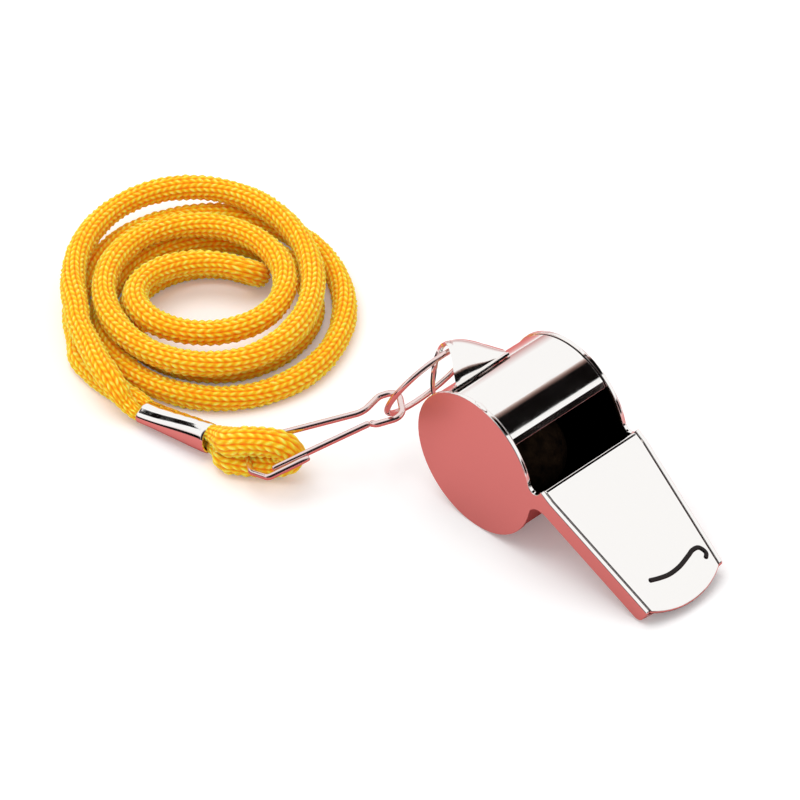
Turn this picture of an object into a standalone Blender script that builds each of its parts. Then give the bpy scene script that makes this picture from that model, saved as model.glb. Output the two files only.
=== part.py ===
"""A pressed-metal pea whistle with its bail, ring, wire clip, ferrule and coiled neck lanyard.

The whistle lies pitched forward, on the round of its barrel and the tip of its mouthpiece.
World frame: +Z up, +X towards the mouth end, +Y across the barrel. The origin is on the ground,
under the centre of the box round the whistle, its ring and its clip.
"""

import math

import bmesh
import bpy
from mathutils import Euler, Matrix, Vector

# Whistle body, in its own frame: barrel axis along Y through the origin, mouthpiece towards +X
WHISTLE_PLACE = Vector((-0.00066, 0.00861))
BARREL_RADIUS = 0.0105
WIDTH = 0.0180
SHEET = 0.0006
SEAM = 0.00012
PLATE_STEP = 0.0002
LIP_ANGLE = math.radians(77.3)
LIP_CURL = 0.0003
TOP_Z = 0.0091
TOP_REAR_X = 0.00905
MOUTH_HEIGHT = 0.0027
MOUTH_X = 0.0297
MOUTH_WIDTH = 0.0141
MOUTH_BULGE = 0.0018
FLOOR_BULGE = 0.0003
TAPER_X = 0.0109
NOTCH_RADIUS = 0.0011
NECK_RADIUS = 0.0020
TIP_RADIUS = 0.0009
BARREL_STEPS = 60

# Cork pea
PEA_RADIUS = 0.0060
PEA_CLEARANCE = 0.0003

# Bail: a teardrop hood on the back of the barrel, open at its near end and behind
BAIL_SHEET = 0.00035
BAIL_SEAM = 0.0001
BAIL_FRONT = math.radians(151.0)
BAIL_CROWN = math.radians(166.0)
BAIL_REAR = math.radians(187.0)
BAIL_CUT_END = math.radians(225.0)
BAIL_HEIGHT = 0.0048
BAIL_ROUND = 0.75
BAIL_MOUTH_Y = -0.0060
BAIL_MOUTH_RAKE = 0.0024
BAIL_TAIL_Y = 0.0024
BAIL_TAIL_BULGE = 0.0010
BAIL_TAIL_SHARE = 0.97
BAIL_REAR_Y = -0.0030
BAIL_FLANGE = math.radians(5.5)
BAIL_APRON = 0.0024
BAIL_COLUMNS = 14
BAIL_ROWS = 12

# Ring through the bail
RING_RADIUS = 0.0070
RING_WIRE = 0.0008
RING_LEAN = math.radians(27.6)
RING_CENTRE = Vector((-0.01383, 0.00424, 0.01443))

# Wire clip, in its own frame: +X from the wide end to the eye, +Y across, origin at the wide end
CLIP_WIRE = 0.0009
CLIP_PLACE = Vector((-0.02644, -0.01637, 0.00400))
CLIP_HEADING = math.radians(58.4)
CLIP_SLOPE = math.radians(17.0)
WIRE_GAP = 0.0003
NECK = (0.0160, -0.00036)
GATE_TIP = (0.0024, -0.0020)
HOOK_REACH = (0.0016, 0.0076)
HOOK_RADIUS = 0.0008
CLIP_CORNERS = (
    ((-0.0004, -0.0010), 0.0009),
    ((-0.0004, 0.0050), 0.0010),
    ((0.0162, 0.0020), 0.0025),
    ((0.0188, 0.0038), 0.0014),
    ((0.0216, 0.0035), 0.0018),
    ((0.0212, -0.0018), 0.0014),
    ((0.0175, -0.0013), 0.0012),
    ((0.0166, -0.0006), 0.0),
)

# Ferrule: an oval sleeve, crimped flatter towards the coil
FERRULE_SHEET = 0.00035
FERRULE_RIGHT = Vector((-0.03546, -0.01599, 0.00300))
FERRULE_LEFT = Vector((-0.04726, -0.01779, 0.00185))
FERRULE_RIGHT_SIZE = (0.0039, 0.0044)
FERRULE_LEFT_SIZE = (0.0041, 0.0026)
FERRULE_CLEARANCE = 0.0002

# Lanyard cord
CORD_DIAMETER = 0.0032
CORD_GAP = 0.0003
CORD_SQUEEZE = 0.55
CORD_LEAD = 0.0012
COIL_CENTRE = Vector((-0.06006, 0.00441))
COIL_TURN = math.radians(56.9)
COIL_LOWER = ((0.02020, 0.02404), (0.01050, 0.00954), (0.00126, -0.00300), (0.00033, -0.00275))
COIL_UPPER = ((0.01791, 0.02417), (0.00815, 0.00544), (-0.00068, -0.00005), (-0.00044, -0.00260))
COIL_TURNS = 2.38
COIL_START = math.radians(188.0)
COIL_LAYER = 0.0037
COIL_POINTS = 24
FOLD_REACH = 0.0022
FOLD_STEPS = 8
LEAST_CORD_GAP = 0.0004
CORD_SPACING = 0.0022
STRAND_SWELL = 0.0060
STRAND_LOW_ROUTE = (
    (-0.0499, -0.0168, 0.0017),
    (-0.0529, -0.0173, 0.0016),
    (-0.0560, -0.0174, 0.0016),
    (-0.0588, -0.0172, 0.0016),
)
STRAND_HIGH_ROUTE = (
    (-0.0495, -0.0190, 0.0027),
    (-0.0509, -0.0191, 0.0038),
    (-0.0530, -0.0188, 0.0048),
    (-0.0560, -0.0181, 0.0052),
    (-0.0592, -0.0169, 0.0053),
)
BIGHT_SWELL = 0.0040
BIGHT_ROUTE = (
    (-0.0314, -0.0160, 0.0054),
    (-0.0296, -0.0151, 0.0064),
    (-0.0279, -0.0138, 0.0066),
    (-0.0261, -0.0123, 0.0062),
    (-0.0249, -0.0113, 0.0048),
    (-0.0250, -0.0114, 0.0031),
    (-0.0264, -0.0125, 0.0018),
    (-0.0282, -0.0140, 0.0016),
    (-0.0300, -0.0154, 0.0016),
    (-0.0320, -0.0163, 0.0017),
)

# Finishes: colour, roughness, metallic
CHROME = ((0.78, 0.77, 0.76, 1.0), 0.12, 1.0)
CORK = ((0.55, 0.36, 0.20, 1.0), 0.85, 0.0)
ORANGE = ((0.92, 0.44, 0.02, 1.0), 0.75, 0.0)


def clear_scene():
    for obj in list(bpy.data.objects):
        bpy.data.objects.remove(obj, do_unlink=True)


def make_material(name, finish):
    colour, roughness, metallic = finish
    material = bpy.data.materials.new(name)
    material.use_nodes = True
    shader = material.node_tree.nodes["Principled BSDF"]
    shader.inputs["Base Color"].default_value = colour
    shader.inputs["Roughness"].default_value = roughness
    shader.inputs["Metallic"].default_value = metallic
    material.diffuse_color = colour
    return material


def make_empty(name, location, rotation, parent=None):
    empty = bpy.data.objects.new(name, None)
    bpy.context.collection.objects.link(empty)
    empty.location = location
    empty.rotation_euler = rotation
    empty.parent = parent
    return empty


def link_mesh(name, bm, finish, parent=None):
    """Makes an object of the bmesh, its faces turned outwards and its rounds shaded smooth."""
    bmesh.ops.recalc_face_normals(bm, faces=bm.faces)
    mesh = bpy.data.meshes.new(name)
    bm.to_mesh(mesh)
    bm.free()
    mesh.shade_smooth()
    mesh.set_sharp_from_angle(angle=math.radians(35.0))
    mesh.materials.append(make_material(name, finish))
    obj = bpy.data.objects.new(name, mesh)
    bpy.context.collection.objects.link(obj)
    obj.parent = parent
    return obj


def make_cutter(name, bm, parent):
    cutter = link_mesh(name, bm, CHROME, parent)
    cutter.hide_render = True
    cutter.display_type = "WIRE"
    return cutter


def add_boolean(obj, cutter, operation):
    modifier = obj.modifiers.new(cutter.name, "BOOLEAN")
    modifier.object = cutter
    modifier.operation = operation
    modifier.solver = "EXACT"


def arc(centre, radius, start, end, steps):
    return [
        (
            centre[0] + radius * math.cos(start + (end - start) * i / steps),
            centre[1] + radius * math.sin(start + (end - start) * i / steps),
        )
        for i in range(steps + 1)
    ]


def bend(corners, steps=6):
    """The smooth line through corners given as (point, radius), each corner turned on its radius."""
    line = [Vector(corners[0][0])]
    for (before, _), (corner, radius), (after, _) in zip(corners, corners[1:], corners[2:]):
        corner = Vector(corner)
        to_before = (Vector(before) - corner).normalized()
        to_after = (Vector(after) - corner).normalized()
        half = to_before.angle(to_after) / 2
        reach = radius / math.tan(half)
        middle = corner + (to_before + to_after).normalized() * (radius / math.sin(half))
        first = corner + to_before * reach - middle
        last = corner + to_after * reach - middle
        swing = math.pi - 2 * half
        for i in range(steps + 1):
            share = i / steps
            spoke = first * math.sin((1 - share) * swing) + last * math.sin(share * swing)
            line.append(middle + spoke / math.sin(swing))
    line.append(Vector(corners[-1][0]))
    return line


def extrude_profile(points, low, high):
    """A closed prism: points (x, z) run once round, from y = low to y = high."""
    bm = bmesh.new()
    face = bm.faces.new([bm.verts.new((x, low, z)) for x, z in points])
    pushed = bmesh.ops.extrude_face_region(bm, geom=[face])
    moved = [item for item in pushed["geom"] if isinstance(item, bmesh.types.BMVert)]
    bmesh.ops.translate(bm, verts=moved, vec=(0.0, high - low, 0.0))
    return bm


def extrude_plan(points, low, high):
    """A closed prism: points (x, y) run once round, from z = low to z = high."""
    bm = bmesh.new()
    face = bm.faces.new([bm.verts.new((x, y, low)) for x, y in points])
    pushed = bmesh.ops.extrude_face_region(bm, geom=[face])
    moved = [item for item in pushed["geom"] if isinstance(item, bmesh.types.BMVert)]
    bmesh.ops.translate(bm, verts=moved, vec=(0.0, 0.0, high - low))
    return bm


def floor_z():
    """Underside of the mouthpiece."""
    return TOP_Z - MOUTH_HEIGHT


def rest_pitch():
    """The slope of the line that touches the barrel and the tip of the mouthpiece floor."""
    tip_x = MOUTH_X + FLOOR_BULGE
    tip_z = floor_z() + PLATE_STEP
    return math.atan2(tip_z, tip_x) + math.asin(BARREL_RADIUS / math.hypot(tip_x, tip_z))


def neck_centre(inset):
    """Centre of the hollow curve under the neck, for a line this far inside the plate's edge."""
    z = floor_z() + inset - (NECK_RADIUS + inset)
    x = math.sqrt((BARREL_RADIUS + NECK_RADIUS) ** 2 - z ** 2)
    return x, z


def plate_outline():
    """Keyhole outline of a side plate: barrel round, neck and mouthpiece flank."""
    notch_x = TOP_REAR_X - NOTCH_RADIUS
    notch_z = math.sqrt((BARREL_RADIUS + NOTCH_RADIUS) ** 2 - notch_x ** 2)
    notch_angle = math.atan2(notch_z, notch_x)
    neck_x, neck_z = neck_centre(0.0)
    neck_angle = math.atan2(neck_z, neck_x)
    outline = [(TOP_REAR_X, TOP_Z)]
    outline += arc((notch_x, notch_z), NOTCH_RADIUS, 0.0, notch_angle - math.pi, 8)
    outline += arc((0.0, 0.0), BARREL_RADIUS, notch_angle, neck_angle + 2 * math.pi, BARREL_STEPS)[1:]
    outline += arc((neck_x, neck_z), NECK_RADIUS, neck_angle + math.pi, math.pi / 2, 8)[1:]
    low_corner = (MOUTH_X - TIP_RADIUS, floor_z() + TIP_RADIUS)
    outline += arc(low_corner, TIP_RADIUS, -math.pi / 2, 0.0, 5)
    high_corner = (MOUTH_X - TIP_RADIUS / 2, TOP_Z - TIP_RADIUS / 2)
    outline += arc(high_corner, TIP_RADIUS / 2, 0.0, math.pi / 2, 4)
    return outline


def flank_shift(x):
    """How far the tapering mouthpiece's flank lies inside the barrel's side, at x."""
    share = max(0.0, (x - TAPER_X) / (MOUTH_X - TAPER_X))
    return share * (WIDTH - MOUTH_WIDTH) / 2


def make_side_plate(name, side, finish, parent):
    """side is -1 for the plate at -Y and +1 for the one at +Y."""
    outer = side * WIDTH / 2
    inner = side * (WIDTH / 2 - SHEET)
    bm = extrude_profile(plate_outline(), min(outer, inner), max(outer, inner))
    everything = bm.verts[:] + bm.edges[:] + bm.faces[:]
    bmesh.ops.bisect_plane(bm, geom=everything, plane_co=(TAPER_X, 0, 0), plane_no=(1, 0, 0))
    for vert in bm.verts:
        vert.co.y -= side * flank_shift(vert.co.x)
    return link_mesh(name, bm, finish, parent)


def plan_cutter(name, bulge, parent):
    """The space between the two side plates, seen from above, its tip rounded by this bulge."""
    half = WIDTH / 2 - SHEET - SEAM
    tip = MOUTH_WIDTH / 2 - SHEET - SEAM
    radius = (tip ** 2 + bulge ** 2) / (2 * bulge)
    swing = math.asin(tip / radius)
    centre = (MOUTH_X + bulge - radius, 0.0)
    back = -2 * BARREL_RADIUS
    points = [(back, half), (back, -half), (TAPER_X, -half)]
    points += arc(centre, radius, -swing, swing, 14)
    points += [(TAPER_X, half)]
    return make_cutter(name, extrude_plan(points, back, -back), parent)


def wrap_line(inset, lip_inset):
    """The body strip's face this far inside the side plates' edge, from the lip to the mouth."""
    neck_x, neck_z = neck_centre(inset)
    neck_angle = math.atan2(neck_z, neck_x)
    radius = BARREL_RADIUS - inset
    line = arc((0.0, 0.0), radius, LIP_ANGLE, neck_angle + 2 * math.pi, BARREL_STEPS)
    line[0] = (line[0][0], line[0][1] - lip_inset)
    line += arc((neck_x, neck_z), NECK_RADIUS + inset, neck_angle + math.pi, math.pi / 2, 8)[1:]
    line.append((MOUTH_X + 2 * MOUTH_BULGE, floor_z() + inset))
    return line


def make_barrel_wrap(finish, parent):
    """One strip: the sounding lip, round the barrel, through the neck and along the mouthpiece floor."""
    outer = wrap_line(PLATE_STEP, LIP_CURL)
    inner = wrap_line(PLATE_STEP + SHEET, 0.0)
    bm = extrude_profile(outer + inner[::-1], -WIDTH, WIDTH)
    wrap = link_mesh("barrel_wrap", bm, finish, parent)
    add_boolean(wrap, plan_cutter("floor_plan", FLOOR_BULGE, parent), "INTERSECT")


def make_mouthpiece_top(finish, parent):
    """The flat roof of the windway, its rear edge thinned towards the sounding window."""
    low = TOP_Z - SHEET
    end = MOUTH_X + 2 * MOUTH_BULGE
    edge = SHEET / 3
    profile = [(TOP_REAR_X, TOP_Z - edge), (TOP_REAR_X, low), (end, low), (end, TOP_Z)]
    profile += [(TOP_REAR_X + 2 * edge, TOP_Z)]
    top = link_mesh("mouthpiece_top", extrude_profile(profile, -WIDTH, WIDTH), finish, parent)
    add_boolean(top, plan_cutter("roof_plan", MOUTH_BULGE, parent), "INTERSECT")


def make_pea(finish, parent):
    bm = bmesh.new()
    bmesh.ops.create_uvsphere(bm, u_segments=24, v_segments=14, radius=PEA_RADIUS)
    low = BARREL_RADIUS - PLATE_STEP - SHEET - PEA_CLEARANCE - PEA_RADIUS
    swing = Matrix.Rotation(-rest_pitch(), 3, "Y")
    bmesh.ops.translate(bm, verts=bm.verts, vec=swing @ Vector((0.0, 0.0, -low)))
    return link_mesh("cork_pea", bm, finish, parent)


def bail_point(across, along, lift):
    """A point of the hood: across 0..1 from front to rear, along 0..1 from mouth to tail."""
    rise = math.sin(math.pi * min(1.0, max(0.0, across)))
    mouth = BAIL_MOUTH_Y + BAIL_MOUTH_RAKE * rise
    y = mouth + along * (BAIL_TAIL_Y + BAIL_TAIL_BULGE * rise - mouth)
    height = BAIL_HEIGHT * math.cos(math.pi / 2 * along)
    angle = BAIL_FRONT + across * (BAIL_REAR - BAIL_FRONT)
    base = BARREL_RADIUS - PLATE_STEP + BAIL_SEAM
    radius = base + lift + height * rise ** BAIL_ROUND
    return Vector((radius * math.cos(angle), y, radius * math.sin(angle)))


def flange_point(along, lift):
    """The flange's outer edge, drawn out into an apron beside the mouth."""
    angle = BAIL_FRONT - BAIL_FLANGE * (1 - along ** 2 / 2)
    y = bail_point(0.0, along, lift).y - BAIL_APRON * (1 - along) ** 3
    radius = bail_point(0.0, along, lift).xz.length
    return Vector((radius * math.cos(angle), y, radius * math.sin(angle)))


def make_bail(finish, parent):
    """Hood with a flange in front; its rear wall ends early, where the ring comes out."""
    bm = bmesh.new()

    def grid(lift):
        sheet = []
        for i in range(BAIL_ROWS + 1):
            along = BAIL_TAIL_SHARE * i / BAIL_ROWS
            line = [flange_point(along, lift)]
            line += [bail_point(j / BAIL_COLUMNS, along, lift) for j in range(BAIL_COLUMNS + 1)]
            sheet.append([bm.verts.new(p) for p in line])
        return sheet

    inside = grid(0.0)
    outside = grid(BAIL_SHEET)
    last = BAIL_COLUMNS + 1
    for i in range(BAIL_ROWS):
        for j in range(last):
            bm.faces.new((outside[i][j], outside[i][j + 1], outside[i + 1][j + 1], outside[i + 1][j]))
            bm.faces.new((inside[i][j], inside[i + 1][j], inside[i + 1][j + 1], inside[i][j + 1]))
        bm.faces.new((outside[i][0], outside[i + 1][0], inside[i + 1][0], inside[i][0]))
        bm.faces.new((outside[i][last], inside[i][last], inside[i + 1][last], outside[i + 1][last]))
    for j in range(last):
        bm.faces.new((outside[0][j], inside[0][j], inside[0][j + 1], outside[0][j + 1]))
        bm.faces.new((outside[-1][j], outside[-1][j + 1], inside[-1][j + 1], inside[-1][j]))
    bail = link_mesh("bail", bm, finish, parent)
    add_boolean(bail, bail_cutter(parent), "DIFFERENCE")
    return bail


def bail_cutter(parent):
    """A block that takes the rear wall away behind the crown, from BAIL_REAR_Y to the tail."""
    near = BARREL_RADIUS - PLATE_STEP - SHEET
    far = near + 2 * BAIL_HEIGHT
    swing = [BAIL_CROWN + (BAIL_CUT_END - BAIL_CROWN) * i / 6 for i in range(7)]
    points = [(far * math.cos(a), far * math.sin(a)) for a in swing]
    points += [(near * math.cos(a), near * math.sin(a)) for a in reversed(swing)]
    return make_cutter("bail_cutter", extrude_profile(points, BAIL_REAR_Y, WIDTH), parent)


def make_ring(finish, parent):
    """The ring, its origin on the crown of its wire inside the bail."""
    bm = bmesh.new()
    around = 48
    sides = 8
    rings = []
    for i in range(around):
        angle = 2 * math.pi * i / around
        out = Vector((0.0, math.cos(angle), math.sin(angle)))
        centre = out * RING_RADIUS - Vector((0.0, 0.0, RING_RADIUS))
        loop = []
        for k in range(sides):
            turn = 2 * math.pi * k / sides
            spoke = out * math.cos(turn) + Vector((1.0, 0.0, 0.0)) * math.sin(turn)
            loop.append(bm.verts.new(centre + spoke * (RING_WIRE / 2)))
        rings.append(loop)
    for i in range(around):
        for k in range(sides):
            first, second = rings[i], rings[(i + 1) % around]
            m = (k + 1) % sides
            bm.faces.new((first[k], second[k], second[m], first[m]))
    return link_mesh("ring", bm, finish, parent)


def make_tube(name, points, radius, resolution, finish, parent=None, taper=None):
    """A capped tube on a POLY spline; taper gives each point's share of the radius."""
    curve = bpy.data.curves.new(name, "CURVE")
    curve.dimensions = "3D"
    curve.bevel_depth = radius
    curve.bevel_resolution = resolution
    curve.use_fill_caps = True
    curve.materials.append(make_material(name, finish))
    spline = curve.splines.new("POLY")
    spline.points.add(len(points) - 1)
    for i, point in enumerate(points):
        spline.points[i].co = (*point, 1.0)
        spline.points[i].radius = taper[i] if taper else 1.0
    spline.use_smooth = True
    obj = bpy.data.objects.new(name, curve)
    bpy.context.collection.objects.link(obj)
    obj.parent = parent
    return obj


def gate_y(x):
    """The gate runs straight from the neck to its tip."""
    return NECK[1] + (GATE_TIP[1] - NECK[1]) * (x - NECK[0]) / (GATE_TIP[0] - NECK[0])


def hook_point(x):
    """The hook's free end lies along the gate's outer side."""
    return x, gate_y(x) - CLIP_WIRE - WIRE_GAP


def make_clip(finish, clip):
    """The clip's bent wire from its hook round to the eye, and its gate with the origin at the neck."""
    near, far = HOOK_REACH
    corners = [(hook_point(far), 0.0), (hook_point(near), HOOK_RADIUS), *CLIP_CORNERS]
    line = [Vector((x, y, 0.0)) for x, y in bend(corners)]
    make_tube("clip_frame", line, CLIP_WIRE / 2, 2, finish, clip)
    neck = Vector((*NECK, 0.0))
    tip = Vector((*GATE_TIP, 0.0))
    gate_line = [(tip - neck) * (i / 4) for i in range(5)]
    gate = make_tube("clip_gate", gate_line, CLIP_WIRE / 2, 2, finish, clip)
    gate.location = neck


def oval_ring(bm, centre, axes, size, sides):
    """A ring of verts on an oval of this width and height."""
    ring = []
    for k in range(sides):
        turn = 2 * math.pi * k / sides
        offset = axes[0] * (size[0] / 2 * math.cos(turn)) + axes[1] * (size[1] / 2 * math.sin(turn))
        ring.append(bm.verts.new(centre + offset))
    return ring


def ferrule_axes():
    along = (FERRULE_RIGHT - FERRULE_LEFT).normalized()
    across = Vector((0.0, 0.0, 1.0)).cross(along).normalized()
    return along, across, along.cross(across)


def ferrule_stations(trim, inset):
    """Centres and sizes of the sleeve's ovals, trimmed at both ends and inset all round."""
    along = ferrule_axes()[0]
    stations = []
    steps = 6
    for i in range(steps + 1):
        share = i / steps
        centre = (FERRULE_LEFT + along * trim).lerp(FERRULE_RIGHT - along * trim, share)
        blend = share * share * (3 - 2 * share)
        size = [
            left + (right - left) * blend - 2 * inset
            for left, right in zip(FERRULE_LEFT_SIZE, FERRULE_RIGHT_SIZE)
        ]
        stations.append((centre, size))
    return stations


def bridge(bm, first, second):
    count = len(first)
    for k in range(count):
        m = (k + 1) % count
        bm.faces.new((first[k], first[m], second[m], second[k]))


def make_ferrule(finish):
    """The crimped sleeve, open at both ends."""
    bm = bmesh.new()
    sides = 20
    axes = ferrule_axes()[1:]
    outer = [oval_ring(bm, c, axes, s, sides) for c, s in ferrule_stations(0.0, 0.0)]
    inner = [oval_ring(bm, c, axes, s, sides) for c, s in ferrule_stations(0.0, FERRULE_SHEET)]
    for walls in (outer, inner):
        for first, second in zip(walls, walls[1:]):
            bridge(bm, first, second)
    bridge(bm, outer[0], inner[0])
    bridge(bm, outer[-1], inner[-1])
    return link_mesh("ferrule", bm, finish)


def make_ferrule_core(finish):
    """The pressed cord inside the sleeve."""
    bm = bmesh.new()
    sides = 16
    axes = ferrule_axes()[1:]
    stations = ferrule_stations(FERRULE_CLEARANCE, FERRULE_SHEET + FERRULE_CLEARANCE)
    walls = [oval_ring(bm, c, axes, s, sides) for c, s in stations]
    for first, second in zip(walls, walls[1:]):
        bridge(bm, first, second)
    bm.faces.new(walls[0][::-1])
    bm.faces.new(walls[-1])
    return link_mesh("ferrule_core", bm, finish)


def smooth_route(route, spacing):
    """Points at about this spacing on a Catmull-Rom curve through the route."""
    points = [Vector(p) for p in route]
    ends = [2 * points[0] - points[1]] + points + [2 * points[-1] - points[-2]]
    line = []
    for a, b, c, d in zip(ends, ends[1:], ends[2:], ends[3:]):
        steps = max(1, round((c - b).length / spacing))
        for i in range(steps):
            t = i / steps
            line.append(
                0.5
                * (
                    2 * b
                    + (c - a) * t
                    + (2 * a - 5 * b + 4 * c - d) * t ** 2
                    + (3 * b - a - 3 * c + d) * t ** 3
                )
            )
    line.append(points[-1])
    return line


def coil_layer(shape, z):
    """One layer, from its outer end in; shape holds half sizes and shifts, outermost and innermost."""
    outer, inner, outer_shift, inner_shift = (Vector(pair) for pair in shape)
    turned = Matrix.Rotation(COIL_TURN, 2)
    count = round(COIL_TURNS * COIL_POINTS)
    layer = []
    for i in range(count + 1):
        share = i / count
        angle = COIL_START - share * COIL_TURNS * 2 * math.pi
        reach = Vector((math.cos(angle), math.sin(angle))) * outer.lerp(inner, share)
        shift = outer_shift.lerp(inner_shift, share)
        layer.append(Vector((*(COIL_CENTRE + turned @ (shift + reach)), z)))
    return layer


def coil_line():
    """The doubled cord: in on the lower layer, up round a fold, and out on the upper layer."""
    low = CORD_DIAMETER / 2
    lower = coil_layer(COIL_LOWER, low)
    upper = coil_layer(COIL_UPPER, low + COIL_LAYER)
    ahead = (lower[-1] - lower[-2]).normalized() * FOLD_REACH
    middle = (lower[-1] + upper[-1]) / 2
    spoke = lower[-1] - middle
    turns = [math.pi * i / FOLD_STEPS for i in range(1, FOLD_STEPS)]
    fold = [middle + spoke * math.cos(turn) + ahead * math.sin(turn) for turn in turns]
    first = (lower[0] - lower[1]).normalized() * CORD_DIAMETER
    last = (upper[0] - upper[1]).normalized() * CORD_DIAMETER
    return [lower[0] + first] + lower + fold + upper[::-1] + [upper[0] + last]


def least_gap(points, radius):
    """The least clear distance between parts of one tube that aren't neighbours along it."""
    dense = []
    for a, b in zip(points, points[1:]):
        dense += [a.lerp(b, i / 3) for i in range(3)]
    travelled = [0.0]
    for a, b in zip(dense, dense[1:]):
        travelled.append(travelled[-1] + (b - a).length)
    apart = math.pi * radius + 2 * radius
    least = 1.0
    for i, a in enumerate(dense):
        for j in range(i + 1, len(dense)):
            if travelled[j] - travelled[i] > apart:
                least = min(least, (dense[j] - a).length)
    return least - 2 * radius


def make_coil(finish):
    line = coil_line()
    gap = least_gap(line, CORD_DIAMETER / 2)
    wanted = LEAST_CORD_GAP * 1000
    print(f"lanyard_coil: least gap to itself {gap * 1000:.2f} mm, wanted over {wanted:.1f} mm")
    make_tube("lanyard_coil", line, CORD_DIAMETER / 2, 1, finish)
    return line


def strand_end(face, out, offset, distance):
    """A point on a strand's run out of the ferrule."""
    across, up = ferrule_axes()[1:]
    return face + out * distance + across * offset[0] + up * offset[1]


def swell(line, reach, both_ends):
    """Shares of the radius along a line: squeezed at its start, full this far on, and back if asked."""
    travelled = [0.0]
    for a, b in zip(line, line[1:]):
        travelled.append(travelled[-1] + (b - a).length)
    shares = []
    for run in travelled:
        nearest = min(run, travelled[-1] - run) if both_ends else run
        shares.append(CORD_SQUEEZE + (1 - CORD_SQUEEZE) * min(1.0, nearest / reach))
    return shares


def make_strands(coil, finish):
    """The two strands from the ferrule to the coil's two ends: the lower one, then the upper."""
    along = ferrule_axes()[0]
    apart = (CORD_DIAMETER * CORD_SQUEEZE + CORD_GAP) / 2
    plans = (
        ("lanyard_strand_low", apart, STRAND_LOW_ROUTE, coil[0], coil[1]),
        ("lanyard_strand_high", -apart, STRAND_HIGH_ROUTE, coil[-1], coil[-2]),
    )
    for name, side, route, end, inner in plans:
        out = (end - inner).normalized()
        start = strand_end(FERRULE_LEFT, -along, (side, 0.0), CORD_GAP)
        straight = [end + out * (CORD_GAP + CORD_LEAD), end + out * CORD_GAP]
        line = smooth_route([start, *map(Vector, route), straight[0]], CORD_SPACING) + straight[1:]
        make_tube(name, line, CORD_DIAMETER / 2, 2, finish, None, swell(line, STRAND_SWELL, False))


def make_bight(finish):
    """The small loop of cord through the clip's wide end, over its wire and back under it."""
    along = ferrule_axes()[0]
    offset = (CORD_DIAMETER * CORD_SQUEEZE + CORD_GAP) / 2
    top = [strand_end(FERRULE_RIGHT, along, (0.0, offset), d) for d in (CORD_GAP, CORD_LEAD)]
    low = [strand_end(FERRULE_RIGHT, along, (0.0, -offset), d) for d in (CORD_LEAD, CORD_GAP)]
    line = smooth_route([*top, *map(Vector, BIGHT_ROUTE), *low], CORD_SPACING)
    make_tube("lanyard_bight", line, CORD_DIAMETER / 2, 2, finish, None, swell(line, BIGHT_SWELL, True))


def build():
    clear_scene()
    whistle = make_empty("whistle_frame", (*WHISTLE_PLACE, BARREL_RADIUS), (0.0, rest_pitch(), 0.0))
    make_side_plate("side_plate_left", -1, CHROME, whistle)
    make_side_plate("side_plate_right", 1, CHROME, whistle)
    make_barrel_wrap(CHROME, whistle)
    make_mouthpiece_top(CHROME, whistle)
    make_bail(CHROME, whistle)
    make_pea(CORK, whistle)

    swing = Vector((math.sin(RING_LEAN), 0.0, math.cos(RING_LEAN)))
    crown = RING_CENTRE + swing * RING_RADIUS
    make_ring(CHROME, make_empty("ring_frame", crown, (0.0, RING_LEAN, 0.0)))

    turn = Euler((0.0, -CLIP_SLOPE, CLIP_HEADING), "XYZ")
    make_clip(CHROME, make_empty("clip_empty", CLIP_PLACE, turn))

    make_ferrule(CHROME)
    make_ferrule_core(ORANGE)
    make_bight(ORANGE)
    make_strands(make_coil(ORANGE), ORANGE)


build()
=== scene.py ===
"""Looks of the pea whistle, its bail, ring, clip, ferrule and knitted lanyard."""

import math

import bmesh
import bpy
import numpy as np
from mathutils import Matrix, Vector, noise


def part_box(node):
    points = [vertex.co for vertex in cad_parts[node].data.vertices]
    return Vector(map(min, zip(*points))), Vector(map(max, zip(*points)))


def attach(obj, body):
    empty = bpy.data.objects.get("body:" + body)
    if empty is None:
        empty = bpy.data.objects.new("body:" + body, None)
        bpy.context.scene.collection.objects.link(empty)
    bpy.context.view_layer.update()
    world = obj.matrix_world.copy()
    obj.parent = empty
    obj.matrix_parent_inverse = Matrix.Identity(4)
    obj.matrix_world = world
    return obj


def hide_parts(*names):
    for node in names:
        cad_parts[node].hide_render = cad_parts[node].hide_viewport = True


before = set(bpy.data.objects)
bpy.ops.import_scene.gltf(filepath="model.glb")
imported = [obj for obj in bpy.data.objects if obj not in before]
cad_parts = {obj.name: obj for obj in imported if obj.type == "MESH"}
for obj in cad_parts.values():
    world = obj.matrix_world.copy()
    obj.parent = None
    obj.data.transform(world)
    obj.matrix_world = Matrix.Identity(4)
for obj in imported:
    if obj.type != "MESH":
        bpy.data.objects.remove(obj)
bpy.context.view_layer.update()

# Camera, fitted to the photograph: its right, up and back axes, and its place
CAMERA_LENS = 180.0
CAMERA_AXES = (
    (0.6833, 0.7298, -0.0242),
    (-0.4578, 0.4540, 0.7644),
    (0.5688, -0.5112, 0.6443),
)
CAMERA_PLACE = (0.28584, -0.27034, 0.35334)

# Places, in metres
WHISTLE_PLACE = Vector((-0.00066, 0.00861, 0.0105))
WHISTLE_PITCH = math.radians(32.3956)
FERRULE_RIGHT = Vector((-0.03546, -0.01599, 0.00300))
FERRULE_LEFT = Vector((-0.04726, -0.01779, 0.00185))

# Cord: its real lengths, and its share of thickness at the ferrule's face and inside it
CORD_DIAMETER = 0.0032
LOOP_LENGTH = 0.509
BIGHT_LENGTH = 0.0364
CORD_GAP = 0.0003
CORD_SQUEEZE = 0.55
CORD_PRESSED = 0.36
PRESSED_FROM = 0.0004
CORD_TUCK = 0.0048

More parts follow.
